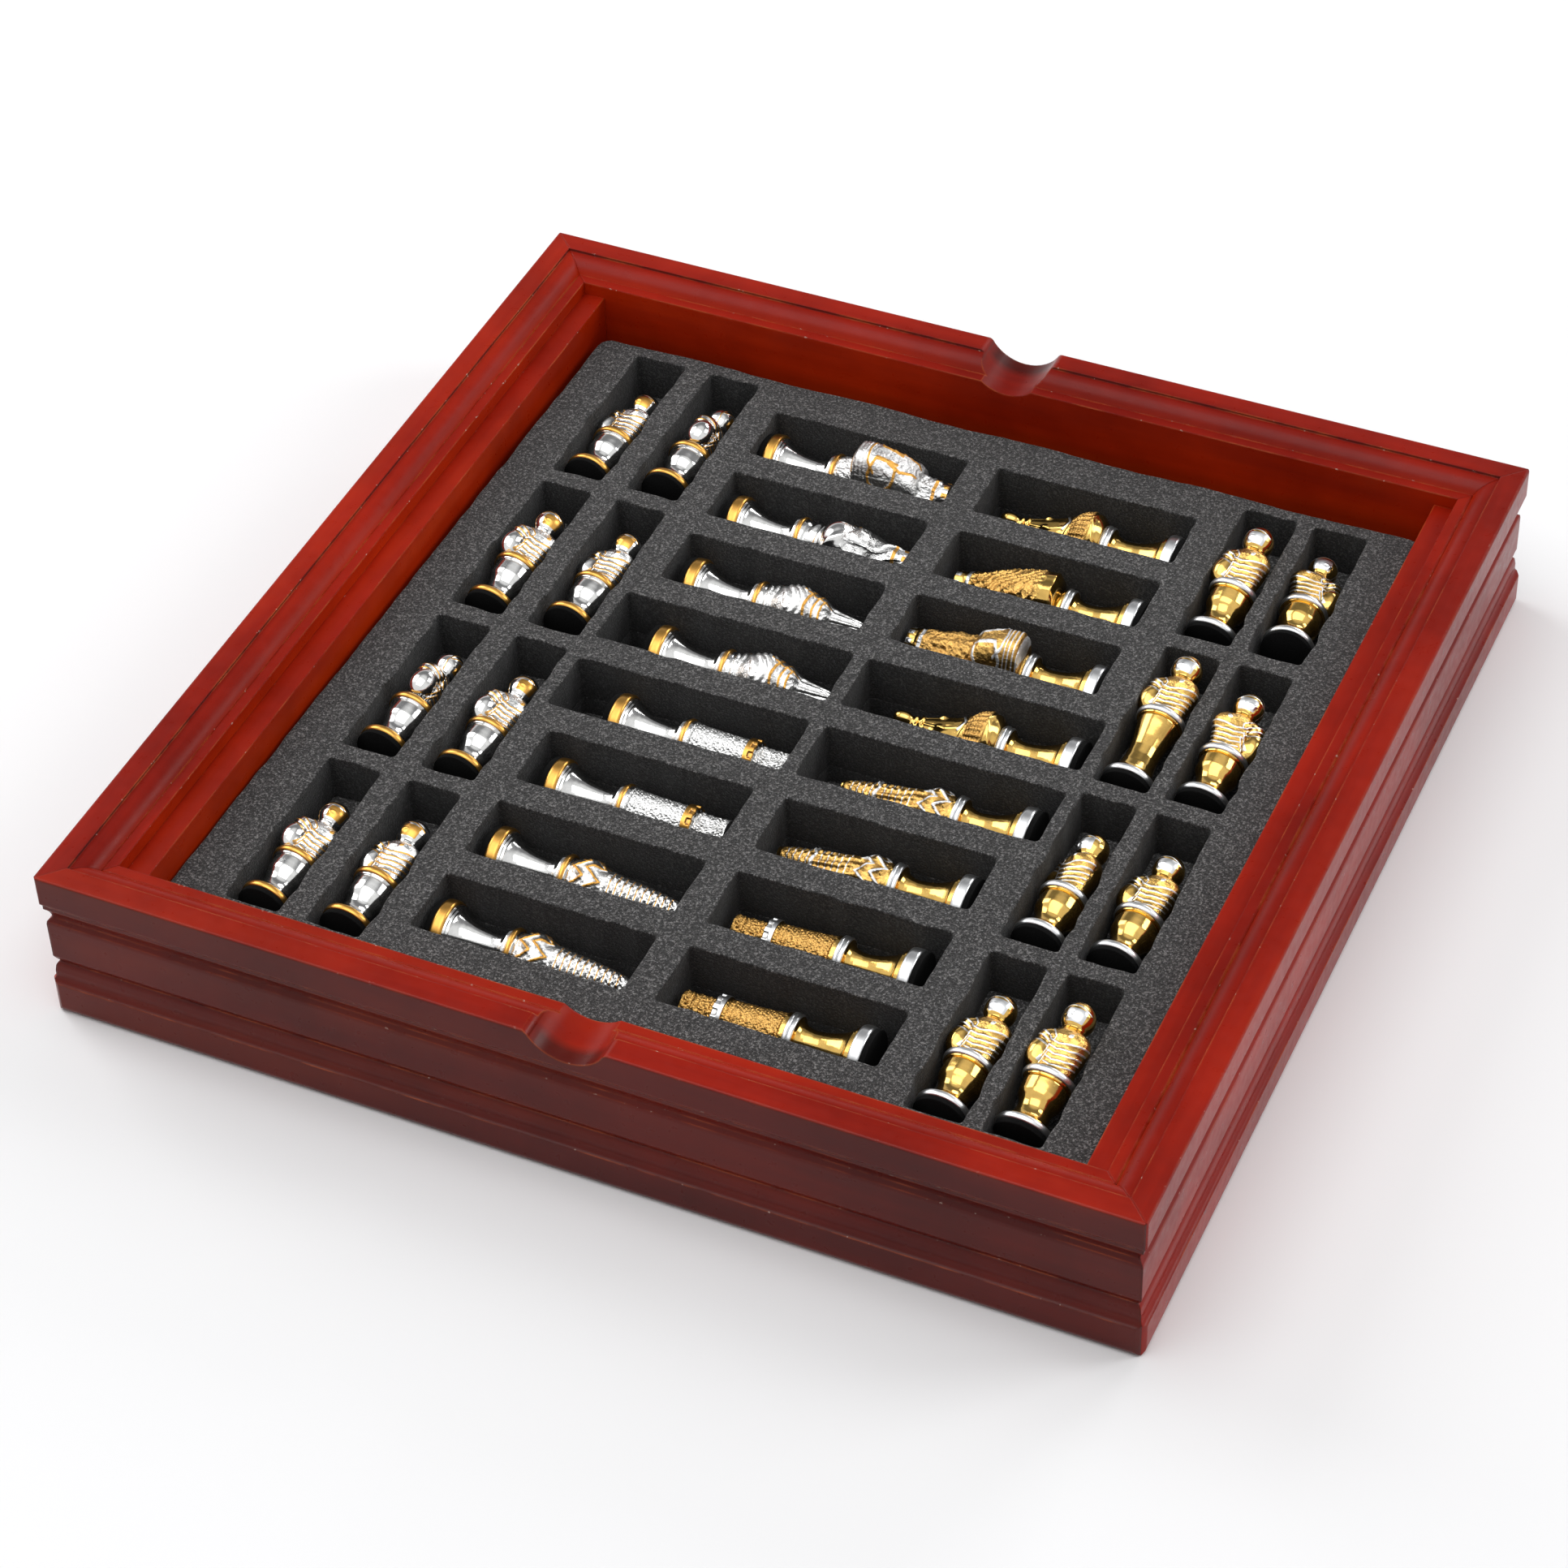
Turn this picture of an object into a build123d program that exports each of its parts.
from build123d import *
from math import cos, radians, sin
import os

# A square wooden chess box with a foam insert that holds thirty-two metal chess pieces.
# Millimetres, +Z up, +X to the right along the front rail, origin at the centre of the underside.

# Wooden box
BOX_WIDTH = 400.0
BOX_HEIGHT = 63.5
LEDGE_DROP = 5.2
LEDGE_INSET = 16.8
WALL_THICKNESS = 20.8
RIM_WIDTH = 8.7
CORNER_RADIUS = 8.0
CORNER_MARGIN = 1.0
FOOT_FLARE = 0.8
NOTCH_WIDTH = 27.0
NOTCH_DEPTH = 9.0
NOTCH_SHOULDER = 2.0
NOTCH_EASE = 0.6
NOTCH_EASE_DROP = 2.2
NOTCH_OVERRUN = 2.0
BATTEN_WIDTH = 8.6
BATTEN_TOP_DROP = 10.5

# Bottom panel, held in a groove that runs round the rails
PANEL_THICKNESS = 5.0
PANEL_RECESS = 3.0
GROOVE_DEPTH = 5.0
PANEL_CLEARANCE = 0.5
GROOVE_CLEARANCE = 0.2

# Foam insert, a square block laminated from three layers
FOAM_SIDE_CLEARANCE = 0.5
FOAM_END_GAP = 8.7
FOAM_TOP_DROP = 22.0
FOAM_BASE_THICKNESS = 7.0
MAJOR_POCKET_DEPTH = 26.5
PAWN_POCKET_DEPTH = 19.0

# Chess pieces
SIDES = 12
FELT_THICKNESS = 2.0
FELT_INSET = 0.4
RIM_SHARE = 0.05
MAJOR_BASE_RADIUS = 12.0
PAWN_BASE_RADIUS = 10.0
COLLAR_HEIGHT = 31.0
PAWN_COLLAR_HEIGHT = 24.4
PAWN_CHEST_RATIO = 0.7
SHIELD_WIDTH = 10.0
KING_HEIGHT = 77.0
QUEEN_HEIGHT = 74.0
BISHOP_HEIGHT = 74.0
KNIGHT_HEIGHT = 72.0
ROOK_HEIGHT = 70.0
PAWN_HEIGHT = 54.0
TALL_PAWN_EXTRA = 10.0
SEAT_GAP = 0.3
END_GAP = 0.5
TURN_SHIFT = 0.5

# Pockets for the tall pieces, which lie across the box in eight rows
MAJOR_ROWS = 8
MAJOR_PITCH = 39.5
MAJOR_POCKET = (KING_HEIGHT + 3.0, 2 * MAJOR_BASE_RADIUS + 3.0)
MAJOR_COLUMNS = (-43.6, 48.5)
LONG_POCKET_LENGTH = KING_HEIGHT + 14.5
LONG_COLUMNS = (-45.2, 52.2)
LONG_ROWS = (4, 5)

# Pockets for the pawns, which lie along the box in four rows
PAWN_ROWS = 4
PAWN_PITCH = 84.0
PAWN_POCKET = (2 * PAWN_BASE_RADIUS + 2.4, PAWN_HEIGHT + TALL_PAWN_EXTRA + 12.0)
PAWN_COLUMNS = (-138.7, -107.3, 113.3, 140.8)

# Levels that follow from the sizes above
half_width = BOX_WIDTH / 2
inner_half = half_width - WALL_THICKNESS
batten_inner_half = inner_half - BATTEN_WIDTH
panel_bottom = PANEL_RECESS
panel_top = panel_bottom + PANEL_THICKNESS
foam_top = BOX_HEIGHT - FOAM_TOP_DROP
major_floor = foam_top - MAJOR_POCKET_DEPTH
pawn_floor = foam_top - PAWN_POCKET_DEPTH
foam_size_x = 2 * (batten_inner_half - FOAM_SIDE_CLEARANCE)
foam_size_y = 2 * (inner_half - FOAM_END_GAP)

os.makedirs("parts", exist_ok=True)


def save(shape, name):
    """Label one sub-part and write it to its own file."""
    shape.label = name
    export_step(shape, f"parts/{name}.step")


# Rails of the box


def rail_outline():
    """The moulded section of a rail, as (distance in from the rim's outer edge, height)."""
    top = BOX_HEIGHT
    groove_low = panel_bottom - GROOVE_CLEARANCE
    groove_high = panel_top + GROOVE_CLEARANCE
    with BuildLine() as outline:
        # top band of the outside face, with its eased upper edge
        Line((RIM_WIDTH, top), (0.8, top))
        RadiusArc((0.8, top), (0, top - 0.8), -0.8)
        Polyline((0, top - 0.8), (0, top - 12), (1.2, top - 13.8), (1.2, top - 15.5))
        # cove into the first groove and the chamfer out of it
        RadiusArc((1.2, top - 15.5), (3.0, top - 20), 6)
        Polyline((3.0, top - 20), (1.5, top - 21.4), (1.3, top - 22.6))
        # middle band, then the second groove with its bead
        Polyline((1.3, top - 22.6), (1.3, top - 37.8), (1.7, top - 38.8), (2.9, top - 41))
        RadiusArc((2.9, top - 41), (1.5, top - 43), -2.5)
        Polyline((1.5, top - 43), (1.2, top - 45), (1.2, top - 47.2))
        # cove out to the wider foot band
        RadiusArc((1.2, top - 47.2), (-FOOT_FLARE, top - 49.5), 3)
        Line((-FOOT_FLARE, top - 49.5), (-FOOT_FLARE, 3.5))
        RadiusArc((-FOOT_FLARE, 3.5), (1.5, 0), -3.5)
        # underside, inner wall and the groove for the bottom panel
        Polyline(
            (1.5, 0),
            (WALL_THICKNESS, 0),
            (WALL_THICKNESS, groove_low),
            (WALL_THICKNESS - GROOVE_DEPTH, groove_low),
            (WALL_THICKNESS - GROOVE_DEPTH, groove_high),
            (WALL_THICKNESS, groove_high),
            (WALL_THICKNESS, top - LEDGE_DROP),
        )
        # the narrow ledge that carries the board, and the cove up to the rim
        Polyline(
            (WALL_THICKNESS, top - LEDGE_DROP),
            (LEDGE_INSET, top - LEDGE_DROP),
            (LEDGE_INSET - 0.4, top - LEDGE_DROP - 0.7),
        )
        RadiusArc((LEDGE_INSET - 0.4, top - LEDGE_DROP - 0.7), (RIM_WIDTH, top - 1.0), -8)
        Line((RIM_WIDTH, top - 1.0), (RIM_WIDTH, top))
    return outline.line


def notch_outline():
    """A half-round finger notch with eased shoulders, drawn on a plane behind the front rail."""
    arc_end = NOTCH_WIDTH / 2 - NOTCH_EASE
    arc_top = BOX_HEIGHT - NOTCH_EASE_DROP
    shoulder = NOTCH_WIDTH / 2 + NOTCH_SHOULDER
    shoulder_radius = NOTCH_WIDTH / 7
    with BuildSketch(Plane.XZ.offset(inner_half - NOTCH_OVERRUN)) as notch:
        with BuildLine():
            ThreePointArc((-arc_end, arc_top), (0, BOX_HEIGHT - NOTCH_DEPTH), (arc_end, arc_top))
            RadiusArc((arc_end, arc_top), (shoulder, BOX_HEIGHT), shoulder_radius)
            Polyline(
                (shoulder, BOX_HEIGHT),
                (shoulder, BOX_HEIGHT + NOTCH_OVERRUN),
                (-shoulder, BOX_HEIGHT + NOTCH_OVERRUN),
                (-shoulder, BOX_HEIGHT),
            )
            RadiusArc((-shoulder, BOX_HEIGHT), (-arc_end, arc_top), shoulder_radius)
        make_face()
    return notch.sketch


def build_rail(with_notch):
    """One mitred rail, standing in the front rail's place."""
    section_plane = Plane(origin=(0, -half_width, 0), x_dir=(0, 1, 0), z_dir=(1, 0, 0))
    outer_side = BOX_WIDTH + 2 * (FOOT_FLARE + CORNER_MARGIN)
    with BuildPart() as rail:
        with BuildSketch(section_plane):
            add(rail_outline())
            make_face()
        extrude(amount=half_width + FOOT_FLARE, both=True)
        split(bisect_by=Plane(origin=(0, 0, 0), z_dir=(1, 1, 0)), keep=Keep.BOTTOM)
        split(bisect_by=Plane(origin=(0, 0, 0), z_dir=(-1, 1, 0)), keep=Keep.BOTTOM)
        with BuildSketch():
            RectangleRounded(outer_side, outer_side, CORNER_RADIUS)
        extrude(amount=BOX_HEIGHT, mode=Mode.INTERSECT)
        if with_notch:
            notch_length = WALL_THICKNESS + FOOT_FLARE + 2 * NOTCH_OVERRUN
            extrude(notch_outline(), amount=notch_length, mode=Mode.SUBTRACT)
    return rail.part


plain_rail = build_rail(False)
notched_rail = build_rail(True)
save(notched_rail, "rail_front")
save(notched_rail.rotate(Axis.Z, 180), "rail_back")
save(plain_rail.rotate(Axis.Z, 90), "rail_right")
save(plain_rail.rotate(Axis.Z, -90), "rail_left")


# Bottom panel and the two side battens


with BuildPart() as bottom_panel:
    panel_side = 2 * (inner_half + GROOVE_DEPTH - PANEL_CLEARANCE)
    with BuildSketch(Plane.XY.offset(panel_bottom)):
        Rectangle(panel_side, panel_side)
    extrude(amount=PANEL_THICKNESS)
save(bottom_panel.part, "bottom_panel")

for side_name, side in (("left", -1), ("right", 1)):
    with BuildPart() as batten:
        with BuildSketch(Plane.XY.offset(panel_top)):
            with Locations((side * (inner_half - BATTEN_WIDTH / 2), 0)):
                Rectangle(BATTEN_WIDTH, 2 * inner_half)
        extrude(amount=BOX_HEIGHT - BATTEN_TOP_DROP - panel_top)
    save(batten.part, f"batten_{side_name}")


# Foam insert


def major_row_y(row):
    """The middle of a tall piece's row, counted from 1 at the back."""
    return (MAJOR_ROWS + 1 - 2 * row) / 2 * MAJOR_PITCH


def pawn_row_y(row):
    """The middle of a pawn's row, counted from 1 at the back."""
    return (PAWN_ROWS + 1 - 2 * row) / 2 * PAWN_PITCH


def draw_major_pockets():
    """The sixteen windows for tall pieces, drawn out of the sheet being sketched."""
    for row in range(1, MAJOR_ROWS + 1):
        long_row = row in LONG_ROWS
        columns = LONG_COLUMNS if long_row else MAJOR_COLUMNS
        length = LONG_POCKET_LENGTH if long_row else MAJOR_POCKET[0]
        with Locations(*[(x, major_row_y(row)) for x in columns]):
            Rectangle(length, MAJOR_POCKET[1], mode=Mode.SUBTRACT)


def draw_pawn_pockets():
    """The sixteen windows for pawns, drawn out of the sheet being sketched."""
    for row in range(1, PAWN_ROWS + 1):
        with Locations(*[(x, pawn_row_y(row)) for x in PAWN_COLUMNS]):
            Rectangle(*PAWN_POCKET, mode=Mode.SUBTRACT)


with BuildPart() as foam_base:
    with BuildSketch(Plane.XY.offset(panel_top)):
        Rectangle(foam_size_x, foam_size_y)
    extrude(amount=major_floor - panel_top)
save(foam_base.part, "foam_base")

with BuildPart() as foam_middle:
    with BuildSketch(Plane.XY.offset(major_floor)):
        Rectangle(foam_size_x, foam_size_y)
        draw_major_pockets()
    extrude(amount=pawn_floor - major_floor)
save(foam_middle.part, "foam_middle")

# The top layer is cut as two halves that meet between the fourth and fifth rows
for side, name in ((1, "foam_top_back"), (-1, "foam_top_front")):
    with BuildPart() as foam_half:
        with BuildSketch(Plane.XY.offset(pawn_floor)):
            with Locations((0, side * foam_size_y / 4)):
                Rectangle(foam_size_x, foam_size_y / 2)
            draw_major_pockets()
            draw_pawn_pockets()
        extrude(amount=foam_top - pawn_floor)
    save(foam_half.part, name)


# Chess pieces, each modelled standing at the origin with its front towards -Y


def ring(height, radius, lean, depth_ratio):
    """The corners of a round or oval section of a casting, which may lean to the front."""
    turns = [radians(360 * (step + 0.5) / SIDES) for step in range(SIDES)]
    return [(radius * cos(t), radius * depth_ratio * sin(t) - lean, height) for t in turns]


def faceted_solid(rings):
    """A closed solid of flat facets through rings of corners, from the bottom up."""
    facets = [Face(Wire.make_polygon(rings[0])), Face(Wire.make_polygon(rings[-1]))]
    for lower, upper in zip(rings, rings[1:]):
        for corner in range(SIDES):
            outline = [lower[corner - 1], lower[corner], upper[corner], upper[corner - 1]]
            facets.append(Face(Wire.make_polygon(outline)))
    return Solid(Shell(facets))


def stack(low, high, unit, sections, depth_ratio=1.0):
    """Add a casting between two heights, through sections from the bottom up.

    A section is its share of the height, then its radius and its lean in units.
    """
    rings = []
    for share, radius, lean in sections:
        height = low + share * (high - low)
        rings.append(ring(height, radius * unit, lean * unit, depth_ratio))
    add(faceted_solid(rings))


def felt_pad(base_radius):
    """The pad glued under a piece's foot."""
    with BuildPart() as pad:
        stack(0, FELT_THICKNESS, base_radius - FELT_INSET, ((0, 1, 0), (1, 1, 0)))
    return pad.part


def tall_pedestal():
    """The foot, trumpet stem and collar that all tall pieces share."""
    with BuildPart() as pedestal:
        stack(
            FELT_THICKNESS,
            COLLAR_HEIGHT,
            MAJOR_BASE_RADIUS,
            (
                (0, 0.97, 0),
                (RIM_SHARE, 1.0, 0),
                (0.14, 0.98, 0),
                (0.17, 0.87, 0),
                (0.24, 0.78, 0),
                (0.45, 0.55, 0),
                (0.69, 0.42, 0),
                (0.86, 0.47, 0),
                (0.93, 0.68, 0),
                (1, 0.68, 0),
            ),
        )
    return pedestal.part


def pawn_casting(extra=0.0):
    """A soldier's bust with broad shoulders and a round helmet; extra lengthens the stem."""
    collar = PAWN_COLLAR_HEIGHT + extra
    top = PAWN_HEIGHT + extra
    with BuildPart() as casting:
        stack(
            FELT_THICKNESS,
            collar,
            PAWN_BASE_RADIUS,
            (
                (0, 0.97, 0),
                (RIM_SHARE, 1.0, 0),
                (0.11, 0.98, 0),
                (0.15, 0.68, 0),
                (0.36, 0.48, 0),
                (0.65, 0.72, 0),
                (0.85, 0.76, 0),
                (0.91, 0.89, 0),
                (1, 0.87, 0),
            ),
        )
        stack(
            collar,
            top,
            PAWN_BASE_RADIUS,
            ((0, 0.68, 0), (0.2, 0.78, 0), (0.39, 0.94, 0), (0.51, 0.84, 0), (0.63, 0.4, 0)),
            PAWN_CHEST_RATIO,
        )
        stack(
            collar,
            top,
            PAWN_BASE_RADIUS,
            ((0.59, 0.32, 0), (0.7, 0.38, 0), (0.83, 0.49, 0), (1, 0.2, 0)),
        )
    return casting.part


def figure_casting(top, sections):
    """A tall piece: the shared pedestal with a figure of the given sections on it."""
    with BuildPart() as casting:
        add(tall_pedestal())
        stack(COLLAR_HEIGHT, top, MAJOR_BASE_RADIUS, sections)
    return casting.part


def king_casting():
    """A robed figure with a crown, whose broad sleeve and shield stand out in front."""
    robe = (
        (0, 0.58, 0),
        (0.15, 0.65, 0),
        (0.46, 0.7, 0.05),
        (0.67, 0.57, 0),
        (0.89, 0.38, 0),
        (1, 0.32, 0),
    )
    shield = (
        (-0.33, 0.17),
        (-1.12, 0.2),
        (-1.29, 0.3),
        (-1.25, 0.46),
        (-0.96, 0.59),
        (-0.33, 0.72),
    )
    with BuildPart() as casting:
        add(figure_casting(KING_HEIGHT, robe))
        with BuildSketch(Plane.YZ.offset(-SHIELD_WIDTH / 2)):
            with BuildLine():
                figure_height = KING_HEIGHT - COLLAR_HEIGHT
                Polyline(
                    *[(y * MAJOR_BASE_RADIUS, COLLAR_HEIGHT + z * figure_height) for y, z in shield],
                    close=True,
                )
            make_face()
        extrude(amount=SHIELD_WIDTH)
    return casting.part


def queen_casting():
    """A crowned figure in a gown, with a cape that swells out in front."""
    gown = (
        (0, 0.58, 0),
        (0.14, 0.62, 0.05),
        (0.26, 0.77, 0.23),
        (0.4, 0.8, 0.28),
        (0.53, 0.62, 0.17),
        (0.72, 0.4, 0.04),
        (1, 0.3, 0),
    )
    return figure_casting(QUEEN_HEIGHT, gown)


def bishop_casting():
    """A slim figure with a strapped chest and a long tapering headdress."""
    robe = (
        (0, 0.57, 0),
        (0.12, 0.67, 0.03),
        (0.26, 0.63, 0.03),
        (0.37, 0.43, 0),
        (0.72, 0.33, 0),
        (1, 0.18, 0),
    )
    return figure_casting(BISHOP_HEIGHT, robe)


def knight_casting():
    """A horse's head: the arched crest swells out in front and runs to a slim muzzle."""
    horse = (
        (0, 0.58, 0.03),
        (0.12, 0.75, 0.15),
        (0.27, 0.8, 0.22),
        (0.41, 0.7, 0.18),
        (0.58, 0.43, 0.05),
        (0.83, 0.25, 0),
        (1, 0.13, 0.07),
    )
    return figure_casting(KNIGHT_HEIGHT, horse)


def rook_casting():
    """A round tower with a ring of battlements and a turret above it."""
    tower = (
        (0, 0.57, 0),
        (0.54, 0.48, 0),
        (0.62, 0.6, 0),
        (0.67, 0.6, 0),
        (0.68, 0.45, 0),
        (1, 0.48, 0),
    )
    return figure_casting(ROOK_HEIGHT, tower)


def lay_down(casting, base_radius, base_centre, heading, tilt, roll):
    """A casting and its felt pad, laid on their side with the head towards the heading."""
    place = Pos(*base_centre) * Rot(0, 0, -heading) * Rot(tilt - 90, 0, 0) * Rot(0, 0, roll)
    return Compound(children=[place * casting, place * felt_pad(base_radius)])


def rest_height(floor, base_radius, collar, tilt):
    """The height of a lying piece's base centre when its foot rests on a pocket's floor."""
    rim_height = FELT_THICKNESS + RIM_SHARE * (collar - FELT_THICKNESS)
    felt_reach = (base_radius - FELT_INSET) * cos(radians(tilt))
    rim_reach = base_radius * cos(radians(tilt)) - rim_height * sin(radians(tilt))
    return floor + SEAT_GAP + max(felt_reach, rim_reach) * cos(radians(180 / SIDES))


def foot_gap(pocket_length, height, share):
    """The gap behind a piece's foot, as a share of the free length of its pocket."""
    return END_GAP + share * (pocket_length - height - 2 * END_GAP)


castings = {
    "king": (king_casting(), KING_HEIGHT),
    "queen": (queen_casting(), QUEEN_HEIGHT),
    "bishop": (bishop_casting(), BISHOP_HEIGHT),
    "knight": (knight_casting(), KNIGHT_HEIGHT),
    "rook": (rook_casting(), ROOK_HEIGHT),
}

# How each tall piece lies, row by row from the back: its name, the share of its
# pocket's free length behind its foot, the tilt of its head, and its roll
SILVER_ROWS = (
    ("silver_king", 0.25, 4.0, 0.0),
    ("silver_queen", 0.65, 3.0, 30.0),
    ("silver_knight_1", 0.55, 2.0, 30.0),
    ("silver_knight_2", 0.85, 2.0, 30.0),
    ("silver_rook_1", 0.9, 1.5, 0.0),
    ("silver_rook_2", 0.6, 1.5, 0.0),
    ("silver_bishop_1", 0.4, 0.5, 0.0),
    ("silver_bishop_2", 0.25, 0.5, 0.0),
)
GOLD_ROWS = (
    ("gold_knight_1", 0.1, 1.0, 0.0),
    ("gold_queen", 0.2, 1.0, 0.0),
    ("gold_king", 0.25, 2.0, 0.0),
    ("gold_knight_2", 0.2, 1.0, 0.0),
    ("gold_bishop_1", 0.3, 0.5, 0.0),
    ("gold_bishop_2", 0.5, 0.5, 0.0),
    ("gold_rook_1", 0.6, 0.0, 0.0),
    ("gold_rook_2", 0.7, 0.0, 0.0),
)

for side, rows in ((0, SILVER_ROWS), (1, GOLD_ROWS)):
    outward = (-1, 1)[side]
    for row, (name, share, tilt, roll) in enumerate(rows, start=1):
        casting, height = castings[name.split("_")[1]]
        long_row = row in LONG_ROWS
        column = (LONG_COLUMNS if long_row else MAJOR_COLUMNS)[side]
        length = LONG_POCKET_LENGTH if long_row else MAJOR_POCKET[0]
        base_centre = (
            column + outward * (length / 2 - foot_gap(length, height, share)),
            major_row_y(row),
            rest_height(major_floor, MAJOR_BASE_RADIUS, COLLAR_HEIGHT, tilt),
        )
        save(lay_down(casting, MAJOR_BASE_RADIUS, base_centre, -outward * 90, tilt, roll), name)

# How each pawn lies, column by column from the back row: the share of its pocket's
# free length behind its foot, the turn and tilt of its head, and its roll
SILVER_PAWNS = (
    ((0.35, 3.0, 0.0, -30.0), (0.5, 2.0, 0.0, 60.0)),
    ((0.4, 3.0, 6.0, 0.0), (0.5, 3.0, 2.0, -30.0)),
    ((0.4, 3.0, 2.0, 60.0), (0.35, 3.0, 2.0, 0.0)),
    ((0.3, 3.0, 2.0, 0.0), (0.35, 3.0, 4.0, -30.0)),
)
GOLD_PAWNS = (
    ((0.45, 3.0, 14.0, -30.0), (0.65, -3.0, 0.0, 30.0)),
    ((0.7, 2.0, 9.0, -30.0), (0.4, 1.0, 9.0, 30.0)),
    ((0.35, 3.0, 4.0, -60.0), (0.35, 3.0, 4.0, -30.0)),
    ((0.3, 3.0, 6.0, -30.0), (0.4, 3.0, 14.0, -30.0)),
)
TALL_PAWN = "gold_pawn_3"

pawn = pawn_casting()
tall_pawn = pawn_casting(TALL_PAWN_EXTRA)

for colour, columns, rows in (
    ("silver", PAWN_COLUMNS[:2], SILVER_PAWNS),
    ("gold", PAWN_COLUMNS[2:], GOLD_PAWNS),
):
    number = 0
    for row, places in enumerate(rows, start=1):
        for column, (share, turn, tilt, roll) in zip(columns, places):
            number += 1
            name = f"{colour}_pawn_{number}"
            extra = TALL_PAWN_EXTRA if name == TALL_PAWN else 0.0
            gap = foot_gap(PAWN_POCKET[1], PAWN_HEIGHT + extra, share)
            base_centre = (
                column - TURN_SHIFT * (turn > 0),
                pawn_row_y(row) - PAWN_POCKET[1] / 2 + gap,
                rest_height(pawn_floor, PAWN_BASE_RADIUS, PAWN_COLLAR_HEIGHT + extra, tilt),
            )
            casting = tall_pawn if name == TALL_PAWN else pawn
            save(lay_down(casting, PAWN_BASE_RADIUS, base_centre, turn, tilt, roll), name)
